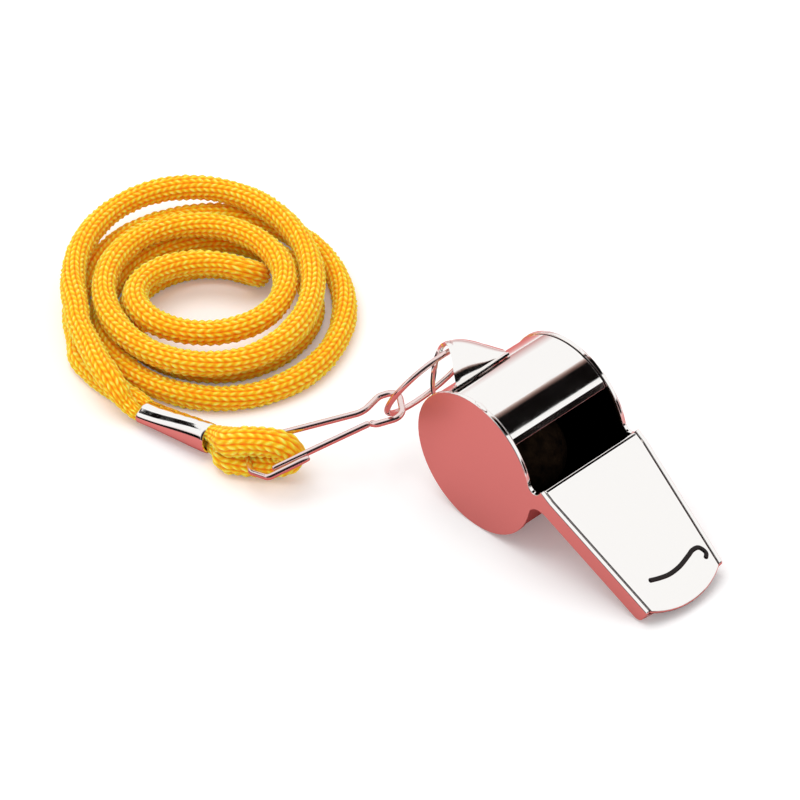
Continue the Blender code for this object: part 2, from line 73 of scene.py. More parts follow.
# Coil: each layer's outermost and innermost half sizes, then its outermost and innermost shifts
COIL_CENTRE = Vector((-0.06006, 0.00441))
COIL_TURN = math.radians(56.9)
COIL_LOWER = ((0.02020, 0.02404), (0.01050, 0.00954), (0.00126, -0.00300), (0.00033, -0.00275))
COIL_UPPER = ((0.01791, 0.02417), (0.00815, 0.00544), (-0.00068, -0.00005), (-0.00044, -0.00260))
COIL_TURNS = 2.38
COIL_START = math.radians(188.0)
COIL_LAYER = 0.0037
COIL_POINTS = 24
FOLD_REACH = 0.0022
FOLD_STEPS = 8

# Strands and small loop; a swell is the way over which the squeezed cord widens
STRAND_SWELL = 0.0060
STRAND_LOW_ROUTE = (
    (-0.0499, -0.0168, 0.0017),
    (-0.0529, -0.0173, 0.0016),
    (-0.0560, -0.0174, 0.0016),
    (-0.0588, -0.0172, 0.0016),
)
STRAND_HIGH_ROUTE = (
    (-0.0495, -0.0190, 0.0027),
    (-0.0509, -0.0191, 0.0038),
    (-0.0530, -0.0188, 0.0048),
    (-0.0560, -0.0181, 0.0052),
    (-0.0592, -0.0169, 0.0053),
)
BIGHT_SWELL = 0.0040
BIGHT_LEAD = 0.0012
BIGHT_ROUTE = (
    (-0.0314, -0.0161, 0.0050),
    (-0.0296, -0.0153, 0.0057),
    (-0.0279, -0.0140, 0.0059),
    (-0.0261, -0.0125, 0.0057),
    (-0.0249, -0.0114, 0.0046),
    (-0.0250, -0.0114, 0.0032),
    (-0.0264, -0.0125, 0.0023),
    (-0.0282, -0.0140, 0.0021),
    (-0.0300, -0.0154, 0.0021),
    (-0.0320, -0.0163, 0.0020),
)

# Knit: chains of loops along the cord; waves are (size, rate per metre, shift)
KNIT_RADIUS = 0.00168
BIGHT_RADIUS = 0.00200
STITCH_PITCH = 0.00112
STITCH_ROWS = 6
STITCH_SLANT = 0.75
STITCH_HEIGHT = 0.00048
STITCH_UNEVEN = 0.60
STITCH_SEED = 7
LOOP_LOW = 0.35
LEG_LOW = 0.25
LEG_ROUND = 0.7
WALES = 7
WALE_SAMPLES = 8
THICKNESS_WAVES = ((0.025, 410.0, 0.0), (0.02, 173.0, 1.0))
ROLL_WAVES = ((0.5, 61.0, 0.0), (0.2, 187.0, 2.0))

# Whistle, in its own frame as in the CAD
TOP_Z = 0.0091
BARREL_RADIUS = 0.0105
PLATE_STEP = 0.0002
CHAMBER_RADIUS = (0.01005, 0.00995)
CHAMBER_HALF_WIDTH = (0.00875, 0.00865)
BEVEL_FROM = math.radians(18.0)
SHARP_FROM = math.radians(50.0)
SHEETS = (
    ("side_plate_left", "near_plate", 0.00018),
    ("side_plate_right", "far_plate", 0.00018),
    ("barrel_wrap", "body_strip", 0.00010),
    ("mouthpiece_top", "roof", 0.00045),
)

# Bail; the dimple is its place across and along, its spread and its depth
BAIL_SHEET = 0.00035
BAIL_SEAM = 0.0001
BAIL_FRONT = math.radians(151.0)
BAIL_CROWN = math.radians(166.0)
BAIL_REAR = math.radians(187.0)
BAIL_HEIGHT = 0.0048
BAIL_ROUND = 0.75
BAIL_MOUTH_Y = -0.0070
BAIL_MOUTH_RAKE = 0.0034
BAIL_TAIL_Y = 0.0024
BAIL_TAIL_BULGE = 0.0010
BAIL_TAIL_SHARE = 0.97
BAIL_REAR_Y = -0.0030
BAIL_REAR_BLEND = 0.0006
BAIL_FLANGE = math.radians(5.5)
BAIL_APRON = 0.0016
BAIL_COLUMNS = 56
BAIL_ROWS = 48
FLANGE_COLUMNS = 6
BAIL_SPAN = (0.0070, 0.0085)
BAIL_DIMPLE = ((0.42, 0.70), 0.00045, 0.00016)

# Wire ends: the thickness left at the tip and next to it, and how far the line is drawn in
END_TIP = 0.55
END_SHOULDER = 0.85
END_REACH = 0.35
END_BLEND = 0.2

# Ring and clip
WIRE_SIDES = 24
RING_STEPS = 144
RING_RADIUS = 0.0070
RING_WIRE = 0.0008
RING_LEAN = math.radians(27.6)
RING_CENTRE = Vector((-0.01383, 0.00424, 0.01443))
CLIP_WIRE = 0.0009
CLIP_PLACE = Vector((-0.02644, -0.01637, 0.00400))
CLIP_HEADING = math.radians(58.4)
CLIP_SLOPE = math.radians(17.0)
WIRE_GAP = 0.0003
NECK = (0.0160, -0.00036)
GATE_TIP = (0.0024, -0.0020)
GATE_STEPS = 12
HOOK_REACH = (0.0016, 0.0076)
HOOK_RADIUS = 0.0008
CLIP_CORNERS = (
    ((-0.0004, -0.0010), 0.0009),
    ((-0.0004, 0.0050), 0.0010),
    ((0.0162, 0.0020), 0.0025),
    ((0.0188, 0.0038), 0.0014),
    ((0.0216, 0.0035), 0.0018),
    ((0.0212, -0.0018), 0.0014),
    ((0.0175, -0.0013), 0.0012),
    ((0.0166, -0.0006), 0.0),
)

# Ferrule
FERRULE_SHEET = 0.00035
FERRULE_RIGHT_SIZE = (0.0039, 0.0044)
FERRULE_LEFT_SIZE = (0.0041, 0.0026)
FERRULE_SIDES = 64
FERRULE_STEPS = 60
RIM_LENGTH = 0.0003
RIM_SHARE = 0.35
CRIMPS = (0.22, 0.46, 0.62, 0.82)
CRIMP_TURN = math.radians(52.0)
CRIMP_SIZE = (0.00035, 0.00055)
CRIMP_DEPTH = 0.00028

# Raised mark on the roof, as (x, y), and solder tabs on the seams, as (degrees, y),
# all in the whistle's own frame
MARK = (
    (0.0262, -0.0038),
    (0.0267, -0.0022),
    (0.0270, -0.0006),
    (0.0269, 0.0013),
    (0.0264, 0.0033),
    (0.0261, 0.0044),
    (0.0263, 0.0054),
    (0.02735, 0.0058),
    (0.0280, 0.0052),
)
MARK_SIZE = (0.00033, 0.00014)
MARK_SIDES = 16
MARK_SPACING = 0.00025
TABS = ((117.0, -0.0086), (107.0, 0.0086), (113.0, -0.0087))
TAB_SIZE = (0.00075, 0.00030, 0.00016)
TAB_ROUGH = 0.35
TAB_RATE = 1.3
TAB_SHIFT = (9.0, 900.0)

# Cork: its fullness, slow unevenness and pits, on a ball of radius 1
CORK_FULL = 0.995
CORK_UNEVEN = 0.008
CORK_RATE = 2.0
PIT_RATE = 5.0
PIT_FROM = 0.25
PIT_DEPTH = 0.10

# Colours
CHROME_TINT = (0.95, 0.93, 0.91)
# Pink and darker than plain chrome: a painted reflection of the coral floor on the wires
WIRE_PAINTED_REFLECTION_TINT = (0.86, 0.70, 0.68)
# Black on the roof's bead: a painted dark reflection
MARK_DARK_REFLECTION_TINT = (0.03, 0.025, 0.025)
# Near black on the chamber's inner walls: painted shade
CHAMBER_PAINTED_SHADE = (0.006, 0.005, 0.005)
# Yarn by stitch height: the red in the grooves is painted shade, the pale yellow on the tops a
# painted highlight, and the orange between is the yarn's own
KNIT_PAINTED_SHADE_TO_HIGHLIGHT = (
    (0.0, (1.0, 0.11, 0.001)),
    (0.26, (1.0, 0.37, 0.002)),
    (0.52, (1.0, 0.63, 0.015)),
    (0.9, (1.0, 0.92, 0.20)),
)
KNIT_LUSTRE = ((0.35, (1.0, 0.82, 0.50)), (0.65, (1.0, 1.0, 1.0)))
# The cork's near black is painted shade; the changes of tone with the grain are its own
CORK_COLOURS_IN_PAINTED_SHADE = (
    (0.3, (0.004, 0.002, 0.001)),
    (0.5, (0.018, 0.009, 0.004)),
    (0.8, (0.035, 0.019, 0.009)),
)

# Studio; a flag is its name, centre, two half sides and, if it fades, from which x to which
WORLD_LIGHT = 0.80
KEY_PLACE = (-0.15, -0.1, 0.6)
KEY_SIZE = 0.5
KEY_POWER = 1.6
FLOOR_REACH = 1.5
FLOOR_LEVEL = -0.00005
FLOOR_GLOW = 0.13
CORAL = (0.66, 0.185, 0.175)
CORAL_CENTRE = (-0.010, -0.015, 0.0)
CORAL_REACH = (0.400, 0.060)
DARK_SIDE = (math.radians(-42.0), math.radians(22.0))
DARK_EDGE = (0.45, 0.72)
DARK_COLOUR = (0.03, 0.022, 0.025)
HORIZON = (0.02, 0.35)
HORIZON_COLOUR = (0.62, 0.33, 0.32)
FLAG_BLACK = (0.004, 0.003, 0.003)
FLAG_FADE = ((0.0, (0.75, 0.62, 0.58)), (0.5, (0.25, 0.16, 0.14)), (1.0, FLAG_BLACK))
FLAGS = (
    (
        "flag_over_barrel",
        (0.0086, 0.0190, 0.0350),
        (0.0069, 0.0, 0.0),
        (0.0, 0.0130, 0.0),
        (0.0017, 0.0045),
    ),
    ("flag_right", (0.170, 0.105, 0.020), (-0.012, 0.019, 0.0), (0.0, 0.0, 0.045)),
    ("flag_left", (-0.152, -0.047, 0.102), (-0.010, 0.038, 0.0), (0.006, 0.002, 0.008)),
    ("flag_low", (-0.071, -0.069, 0.008), (0.025, -0.014, 0.0), (0.0, 0.0, 0.008)),
)
SEEN = ("Is Camera Ray", "Is Glossy Ray", "Is Transmission Ray")


def make_camera():
    """The photograph's camera: a long lens, looking down at about forty degrees."""
    data = bpy.data.cameras.new("camera")
    data.sensor_width = 36.0
    data.lens = CAMERA_LENS
    data.clip_start = 0.01
    data.clip_end = 10.0
    camera = bpy.data.objects.new("camera", data)
    bpy.context.collection.objects.link(camera)
    camera.matrix_world = Matrix(CAMERA_AXES).transposed().to_4x4()
    camera.matrix_world.translation = Vector(CAMERA_PLACE)
    bpy.context.scene.camera = camera
    bpy.context.scene.view_settings.view_transform = "Standard"


make_camera()


# Pieces


def link_mesh(name, mesh):
    """A smooth object of this mesh, in the scene."""
    mesh.shade_smooth()
    piece = bpy.data.objects.new(name, mesh)
    bpy.context.collection.objects.link(piece)
    return piece


def link_piece(name, verts, faces):
    mesh = bpy.data.meshes.new(name)
    mesh.from_pydata([tuple(v) for v in verts], [], faces)
    return link_mesh(name, mesh)


def link_bmesh(name, bm):
    mesh = bpy.data.meshes.new(name)
    bm.to_mesh(mesh)
    bm.free()
    return link_mesh(name, mesh)


def finish_piece(piece, material, body, slot, *nodes):
    """Gives the piece its material, and puts it on its body in place of the CAD nodes; the slot is
    not used.
    """
    piece.data.materials.append(material)
    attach(piece, body)
    if nodes:
        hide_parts(*nodes)


def from_whistle(x, y, z):
    """A point of the whistle's own frame in the world."""
    cos, sin = math.cos(WHISTLE_PITCH), math.sin(WHISTLE_PITCH)
    return WHISTLE_PLACE + Vector((x * cos + z * sin, y, z * cos - x * sin))


# Cord routes


def smooth_route(route, spacing):
    """Points at about this spacing on a Catmull-Rom curve through the route."""
    points = [Vector(p) for p in route]
    ends = [2 * points[0] - points[1]] + points + [2 * points[-1] - points[-2]]
    line = []
    for a, b, c, d in zip(ends, ends[1:], ends[2:], ends[3:]):
        steps = max(1, round((c - b).length / spacing))
        square = 2 * a - 5 * b + 4 * c - d
        cube = 3 * b - a - 3 * c + d
        for t in (i / steps for i in range(steps)):
            line.append(0.5 * (2 * b + (c - a) * t + square * t ** 2 + cube * t ** 3))
    line.append(points[-1])
    return line


def coil_layer(shape, z):
    """One layer of the coil at height z, from its outer end inwards."""
    outer, inner, outer_shift, inner_shift = (Vector(pair) for pair in shape)
    turned = Matrix.Rotation(COIL_TURN, 2)
    count = round(COIL_TURNS * COIL_POINTS)
    layer = []
    for i in range(count + 1):
        share = i / count
        angle = COIL_START - share * COIL_TURNS * 2 * math.pi
        reach = Vector((math.cos(angle), math.sin(angle))) * outer.lerp(inner, share)
        point = COIL_CENTRE + turned @ (outer_shift.lerp(inner_shift, share) + reach)
        layer.append(Vector((*point, z)))
    return layer


def coil_line():
    """The doubled cord: in on the lower layer, up round a fold, and out on the upper layer."""
    low = CORD_DIAMETER / 2
    lower = coil_layer(COIL_LOWER, low)
    upper = coil_layer(COIL_UPPER, low + COIL_LAYER)
    ahead = (lower[-1] - lower[-2]).normalized() * FOLD_REACH
    middle = (lower[-1] + upper[-1]) / 2
    spoke = lower[-1] - middle
    turns = [math.pi * i / FOLD_STEPS for i in range(1, FOLD_STEPS)]
    fold = [middle + spoke * math.cos(turn) + ahead * math.sin(turn) for turn in turns]
    first = (lower[0] - lower[1]).normalized() * CORD_DIAMETER
    last = (upper[0] - upper[1]).normalized() * CORD_DIAMETER
    return [lower[0] + first] + lower + fold + upper[::-1] + [upper[0] + last]


FERRULE_ALONG = (FERRULE_RIGHT - FERRULE_LEFT).normalized()
FERRULE_ACROSS = Vector((0.0, 0.0, 1.0)).cross(FERRULE_ALONG).normalized()
FERRULE_UP = FERRULE_ALONG.cross(FERRULE_ACROSS)
SIDE_BY_SIDE = (CORD_DIAMETER * CORD_SQUEEZE + CORD_GAP) / 2


def loop_route():
    """The neck loop's whole line, out of the ferrule, through the coil and back to the ferrule."""
    inside = [FERRULE_LEFT + FERRULE_ALONG * CORD_TUCK * share for share in (1.0, 0.5, 0.0)]
    start = [p + FERRULE_ACROSS * SIDE_BY_SIDE for p in inside]
    end = [p - FERRULE_ACROSS * SIDE_BY_SIDE for p in reversed(inside)]
    return [*start, *STRAND_LOW_ROUTE, *coil_line(), *STRAND_HIGH_ROUTE[::-1], *end]


def bight_route():
    """The small loop through the clip's wide end, from the ferrule back to the ferrule."""
    def at_face(up, out):
        return FERRULE_RIGHT + FERRULE_ALONG * out + FERRULE_UP * up

    top = [at_face(SIDE_BY_SIDE, out) for out in (-CORD_TUCK, BIGHT_LEAD)]
    low = [at_face(-SIDE_BY_SIDE, out) for out in (BIGHT_LEAD, -CORD_TUCK)]
    return [*top, *BIGHT_ROUTE, *low]


def resample(route, spacing):
    """Evenly spaced points on the smooth curve through the route, and the way run to each."""
    dense = np.array([tuple(p) for p in smooth_route(route, spacing / 2)])
    run = np.concatenate([[0.0], np.cumsum(np.linalg.norm(np.diff(dense, axis=0), axis=1))])
    count = round(run[-1] / spacing) + 1
    at = np.linspace(0.0, run[-1], count)
    return np.stack([np.interp(at, run, dense[:, k]) for k in range(3)], axis=1), at


def frames_along(points):
    """A pair of axes square to the line at each point, without twist."""
    tangents = np.gradient(points, axis=0)
    tangents /= np.linalg.norm(tangents, axis=1)[:, None]
    side = np.cross(tangents[0], (0.0, 0.0, 1.0))
    sides = []
    for tangent in tangents:
        side = side - tangent * side.dot(tangent)
        side /= np.linalg.norm(side)
        sides.append(side)
    sides = np.array(sides)
    return sides, np.cross(tangents, sides)


# Materials


def shader_of(name):
    material = bpy.data.materials.new(name)
    material.use_nodes = True
    nodes = material.node_tree.nodes
    return material, nodes, material.node_tree.links, nodes["Principled BSDF"]


def set_sockets(node, values):
    for socket, value in values.items():
        node.inputs[socket].default_value = value


def object_place(nodes):
    """The place in the object's own metres."""
    return nodes.new("ShaderNodeTexCoord").outputs["Object"]


def noise_node(nodes, links, place, scale, detail, stretch=(1.0, 1.0, 1.0)):
    """A noise texture, drawn out along an axis where stretch is under 1."""
    mapping = nodes.new("ShaderNodeMapping")
    mapping.inputs["Scale"].default_value = stretch
    links.new(place, mapping.inputs["Vector"])
    texture = nodes.new("ShaderNodeTexNoise")
    texture.inputs["Scale"].default_value = scale
    texture.inputs["Detail"].default_value = detail
    links.new(mapping.outputs["Vector"], texture.inputs["Vector"])
    return texture.outputs["Fac"]


def map_range(nodes, links, value, low, high, to_low=0.0, to_high=1.0):
    node = nodes.new("ShaderNodeMapRange")
    set_sockets(node, {"From Min": low, "From Max": high, "To Min": to_low, "To Max": to_high})
    links.new(value, node.inputs["Value"])
    return node.outputs["Result"]


def ramp(nodes, links, value, stops):
    node = nodes.new("ShaderNodeValToRGB")
    elements = node.color_ramp.elements
    while len(elements) < len(stops):
        elements.new(0.5)
    for element, (position, colour) in zip(elements, stops):
        element.position = position
        element.color = (*colour, 1.0)
    links.new(value, node.inputs["Fac"])
    return node.outputs["Color"]


def math_node(nodes, links, operation, *values):
    """The result of a Math node on these sockets."""
    node = nodes.new("ShaderNodeMath")
    node.operation = operation
    for socket, value in zip(node.inputs, values):
        links.new(value, socket)
    return node.outputs[0]


def vector_math(nodes, links, operation, vector, constant=None):
    """The outputs, Vector and Value, of a Vector Math node on a socket and a constant."""
    node = nodes.new("ShaderNodeVectorMath")
    node.operation = operation
    links.new(vector, node.inputs[0])
    if constant is not None:
        node.inputs[1].default_value = constant
    return node.outputs


def axis_of(nodes, links, vector, axis):
    parts = nodes.new("ShaderNodeSeparateXYZ")
    links.new(vector, parts.inputs[0])
    return parts.outputs[axis]


def mixed(nodes, links, share, first, second, blend="MIX"):
    """A mix of two colours; the share and the colours are each a socket or a value."""
    node = nodes.new("ShaderNodeMix")
    node.data_type = "RGBA"
    node.blend_type = blend
    for index, value in ((0, share), (6, first), (7, second)):
        if isinstance(value, bpy.types.NodeSocket):
            links.new(value, node.inputs[index])
        else:
            node.inputs[index].default_value = value
    return node.outputs[2]


def add_bump(nodes, links, shader, height, strength, distance):
    bump = nodes.new("ShaderNodeBump")
    set_sockets(bump, {"Strength": strength, "Distance": distance})
    links.new(height, bump.inputs["Height"])
    links.new(bump.outputs["Normal"], shader.inputs["Normal"])


def chrome(name, tint=CHROME_TINT, rough=(0.05, 0.12), wave=0.00003):
    """Plated sheet: faint waves from the press, and fine wear in the polish."""
    material, nodes, links, shader = shader_of(name)
    place = object_place(nodes)
    set_sockets(shader, {"Metallic": 1.0, "Base Color": (*tint, 1.0)})
    wear = noise_node(nodes, links, place, 900.0, 6.0, (1.0, 0.25, 1.0))
    links.new(map_range(nodes, links, wear, 0.35, 0.75, *rough), shader.inputs["Roughness"])
    add_bump(nodes, links, shader, noise_node(nodes, links, place, 160.0, 2.0), 0.5, wave)
    return material


def knit_material():
    """Orange yarn with fibre fuzz; paler on the loops' tops as a painted highlight, redder in the
    grooves as painted shade.
    """
    material, nodes, links, shader = shader_of("orange_knit")
    place = object_place(nodes)
    stitch = nodes.new("ShaderNodeAttribute")
    stitch.attribute_name = "stitch"
    # Painted highlight on the stitches' tops and painted shade in the grooves
    colour = ramp(nodes, links, stitch.outputs["Fac"], KNIT_PAINTED_SHADE_TO_HIGHLIGHT)
    lustre = ramp(nodes, links, noise_node(nodes, links, place, 1100.0, 2.0), KNIT_LUSTRE)
    varied = mixed(nodes, links, 1.0, colour, lustre, "MULTIPLY")
    links.new(varied, shader.inputs["Base Color"])
    values = {
        "Roughness": 0.85,
        "Specular IOR Level": 0.2,
        "Subsurface Weight": 0.8,
        "Subsurface Radius": (1.0, 0.35, 0.08),
        "Subsurface Scale": 0.0016,
        "Sheen Weight": 0.35,
        "Sheen Roughness": 0.5,
        "Sheen Tint": (1.0, 0.75, 0.3, 1.0),
    }
    set_sockets(shader, values)
    add_bump(nodes, links, shader, noise_node(nodes, links, place, 6000.0, 3.0), 0.4, 0.00008)
    return material


def cork_material():
    """Cork with a coarse grain, painted near black; the grain is its own, the darkness is painted
    shade.
    """
    material, nodes, links, shader = shader_of("cork")
    grain = noise_node(nodes, links, object_place(nodes), 700.0, 8.0)
    links.new(ramp(nodes, links, grain, CORK_COLOURS_IN_PAINTED_SHADE), shader.inputs["Base Color"])
    set_sockets(shader, {"Roughness": 0.9, "Specular IOR Level": 0.1})
    add_bump(nodes, links, shader, grain, 0.6, 0.0003)
    return material


def body_chrome(name):
    """Chrome outside; the chamber's inner walls are painted near black, as painted shade."""
    material = chrome(name)
    nodes, links = material.node_tree.nodes, material.node_tree.links
    place = object_place(nodes)
    offset = vector_math(nodes, links, "SUBTRACT", place, WHISTLE_PLACE)["Vector"]
    flat = vector_math(nodes, links, "MULTIPLY", offset, (1.0, 0.0, 1.0))["Vector"]
    reach = vector_math(nodes, links, "LENGTH", flat)["Value"]
    inside = map_range(nodes, links, reach, *CHAMBER_RADIUS)
    side = math_node(nodes, links, "ABSOLUTE", axis_of(nodes, links, offset, "Y"))
    between = map_range(nodes, links, side, *CHAMBER_HALF_WIDTH)
    # Painted shade: the chamber's inner walls turn near black
    chamber_shade_mask = math_node(nodes, links, "MULTIPLY", inside, between)
    colour = mixed(nodes, links, chamber_shade_mask, (*CHROME_TINT, 1.0), (*CHAMBER_PAINTED_SHADE, 1.0))
    links.new(colour, nodes["Principled BSDF"].inputs["Base Color"])
    return material


BODY_CHROME = body_chrome("body_chrome")
BAIL_CHROME = chrome("bail_chrome")
FERRULE_CHROME = chrome("ferrule_chrome", wave=0.00001)
# The wires' pink tint is a painted reflection
WIRE_CHROME_PAINTED_PINK = chrome("wire_chrome", tint=WIRE_PAINTED_REFLECTION_TINT, rough=(0.10, 0.20), wave=0.00001)
# The bead's black metal is a painted dark reflection
MARK_PAINTED_REFLECTION = chrome("mark_painted_reflection", tint=MARK_DARK_REFLECTION_TINT)
KNIT = knit_material()
CORK = cork_material()


# Whistle body


def rolled(node, name, edge):
    """The CAD sheet with its cut edges rounded, and its rounds smooth."""
    bm = bmesh.new()
    bm.from_mesh(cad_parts[node].data)
    bmesh.ops.remove_doubles(bm, verts=bm.verts, dist=1e-7)
    bmesh.ops.dissolve_limit(bm, angle_limit=math.radians(1.0), verts=bm.verts, edges=bm.edges)
    piece = link_bmesh(name, bm)
    bevel = piece.modifiers.new("rolled_edges", "BEVEL")
    bevel.width = edge
    bevel.segments = 4
    bevel.limit_method = "ANGLE"
    bevel.angle_limit = BEVEL_FROM
    bevel.use_clamp_overlap = True
    weighted = piece.modifiers.new("flat_faces", "WEIGHTED_NORMAL")
    weighted.weight = 100
    weighted.keep_sharp = True
    finish_piece(piece, BODY_CHROME, "whistle", "body_chrome", node)


for sheet in SHEETS:
    rolled(*sheet)


# Tubes and wires


def sweep(name, points, sides, half_width, half_height, closed=False, up=None):
    """A closed oval tube along the points; up, where given, is the direction of its height."""
    centres = np.array([tuple(p) for p in points])
    if closed:
        tangents = np.roll(centres, -1, axis=0) - np.roll(centres, 1, axis=0)
    else:
        tangents = np.gradient(centres, axis=0)
    tangents /= np.linalg.norm(tangents, axis=1)[:, None]
    reference = np.array(up if up is not None else (0.0, 0.0, 1.0))
    across = np.cross(tangents, reference)
    across /= np.linalg.norm(across, axis=1)[:, None]
    normals = np.cross(across, tangents)
    turn = 2 * np.pi * np.arange(sides) / sides
    ends = np.ones(len(centres))
    if not closed:
        ends[0] = ends[-1] = END_TIP
        ends[1] = ends[-2] = END_SHOULDER
    offset = (
        (np.cos(turn) * half_width)[None, :, None] * across[:, None, :]
        + (np.sin(turn) * half_height)[None, :, None] * normals[:, None, :]
    )
    rings = centres[:, None, :] + offset * ends[:, None, None]
    count = len(centres)
    faces = []
    for i in range(count if closed else count - 1):
        j = (i + 1) % count
        for k in range(sides):
            m = (k + 1) % sides
            faces.append((i * sides + k, i * sides + m, j * sides + m, j * sides + k))
    if not closed:
        faces.append(tuple(range(sides))[::-1])
        faces.append(tuple((count - 1) * sides + k for k in range(sides)))
    return link_piece(name, rings.reshape(-1, 3), faces)


def rounded_ends(points, radius):
    """The line with two more points near each end, where a sweep draws its ends in."""
    first = points[0] + (points[1] - points[0]).normalized() * radius * END_REACH
    last = points[-1] + (points[-2] - points[-1]).normalized() * radius * END_REACH
    head = [points[0], first, first.lerp(points[1], END_BLEND)]
    tail = [last.lerp(points[-2], END_BLEND), last, points[-1]]
    return [*head, *points[1:-1], *tail]


def make_ring():
    """The round wire ring, which leans in the bail."""
    side = Vector((0.0, 1.0, 0.0))
    lean = Vector((math.sin(RING_LEAN), 0.0, math.cos(RING_LEAN)))
    square = Vector((math.cos(RING_LEAN), 0.0, -math.sin(RING_LEAN)))
    points = []
    for i in range(RING_STEPS):
        angle = 2 * math.pi * i / RING_STEPS
        spoke = side * math.cos(angle) + lean * math.sin(angle)
        points.append(RING_CENTRE + spoke * RING_RADIUS)
    radius = RING_WIRE / 2
    ring = sweep("wire_ring", points, WIRE_SIDES, radius, radius, closed=True, up=square)
    finish_piece(ring, WIRE_CHROME_PAINTED_PINK, "ring", "ring_chrome", "ring")


def bend(corners, steps=14):
    """The smooth line through corners given as (point, radius), each turned on its radius."""
    line = [Vector(corners[0][0])]
    for (before, _), (corner, radius), (after, _) in zip(corners, corners[1:], corners[2:]):
        corner = Vector(corner)
        to_before = (Vector(before) - corner).normalized()
        to_after = (Vector(after) - corner).normalized()
        half = to_before.angle(to_after) / 2
        reach = radius / math.tan(half)
        middle = corner + (to_before + to_after).normalized() * (radius / math.sin(half))
        first = corner + to_before * reach - middle
        last = corner + to_after * reach - middle
        swing = math.pi - 2 * half
        for share in (i / steps for i in range(steps + 1)):
            spoke = first * math.sin((1 - share) * swing) + last * math.sin(share * swing)
            line.append(middle + spoke / math.sin(swing))
    line.append(Vector(corners[-1][0]))
    return line


CLIP_AXES = Matrix.Rotation(CLIP_HEADING, 3, "Z") @ Matrix.Rotation(-CLIP_SLOPE, 3, "Y")


def from_clip(x, y):
    """A point of the clip's own plane in the world."""
    return CLIP_PLACE + CLIP_AXES @ Vector((x, y, 0.0))


def gate_y(x):
    """The gate's middle line, from the neck to its tip."""
    return NECK[1] + (GATE_TIP[1] - NECK[1]) * (x - NECK[0]) / (GATE_TIP[0] - NECK[0])


def make_wire(name, line, body, node):
    """One stretch of the clip's wire."""
    square = CLIP_AXES @ Vector((0.0, 0.0, 1.0))
    radius = CLIP_WIRE / 2
    wire = sweep(name, rounded_ends(line, radius), WIRE_SIDES, radius, radius, up=square)
    finish_piece(wire, WIRE_CHROME_PAINTED_PINK, body, "wire_chrome", node)


def make_clip():
    """The bent frame with its hook, and the springing gate from the frame's neck to the hook."""
    near, far = HOOK_REACH
    hook = [(x, gate_y(x) - CLIP_WIRE - WIRE_GAP) for x in (far, near)]
    line = bend([(hook[0], 0.0), (hook[1], HOOK_RADIUS), *CLIP_CORNERS])
    make_wire("clip_wire", [from_clip(*p) for p in line], "clip", "clip_frame")
    neck, tip = from_clip(*CLIP_CORNERS[-1][0]), from_clip(*GATE_TIP)
    line = [neck.lerp(tip, i / GATE_STEPS) for i in range(GATE_STEPS + 1)]
    make_wire("clip_gate_wire", line, "gate", "clip_gate")


make_ring()
make_clip()


# Bail


def bail_point(across, along, lift):
    """A point of the hood: across 0..1 from front to rear, along 0..1 from mouth to tail."""
    rise = math.sin(math.pi * min(1.0, max(0.0, across)))
    mouth = BAIL_MOUTH_Y + BAIL_MOUTH_RAKE * rise
    y = mouth + along * (BAIL_TAIL_Y + BAIL_TAIL_BULGE * rise - mouth)
    height = BAIL_HEIGHT * math.cos(math.pi / 2 * along)
    angle = BAIL_FRONT + across * (BAIL_REAR - BAIL_FRONT)
    (spot_across, spot_along), spread, depth = BAIL_DIMPLE
    wide, deep = BAIL_SPAN
    off = math.hypot((across - spot_across) * wide, (along - spot_along) * deep)
    dimple = depth * math.exp(-((off / spread) ** 2))
    base = BARREL_RADIUS - PLATE_STEP + BAIL_SEAM
    radius = base + lift + height * rise ** BAIL_ROUND - dimple
    return radius * math.cos(angle), y, radius * math.sin(angle)


def flange_point(along, lift, share):
    """A point of the flange, an apron near the mouth; share is 0 at the hood's foot, 1 outside."""
    angle = BAIL_FRONT - BAIL_FLANGE * (1 - along ** 2 / 2) * share
    foot_x, foot_y, foot_z = bail_point(0.0, along, lift)
    radius = math.hypot(foot_x, foot_z)
    y = foot_y - BAIL_APRON * (1 - along) ** 3 * share
    return radius * math.cos(angle), y, radius * math.sin(angle)


def bail_row(along, lift):
    """One row of the sheet; the hood's rear wall ends early, where the ring comes out."""
    crown = (BAIL_CROWN - BAIL_FRONT) / (BAIL_REAR - BAIL_FRONT)
    y_mid = bail_point(0.5, along, lift)[1]
    gone = min(1.0, max(0.0, (y_mid - BAIL_REAR_Y) / BAIL_REAR_BLEND + 0.5))
    reach = 1.0 - (1.0 - crown) * gone * gone * (3 - 2 * gone)
    shares = [1 - k / FLANGE_COLUMNS for k in range(FLANGE_COLUMNS)]
    columns = [reach * j / BAIL_COLUMNS for j in range(BAIL_COLUMNS + 1)]
    row = [flange_point(along, lift, share) for share in shares]
    row += [bail_point(across, along, lift) for across in columns]
    return [from_whistle(*point) for point in row]


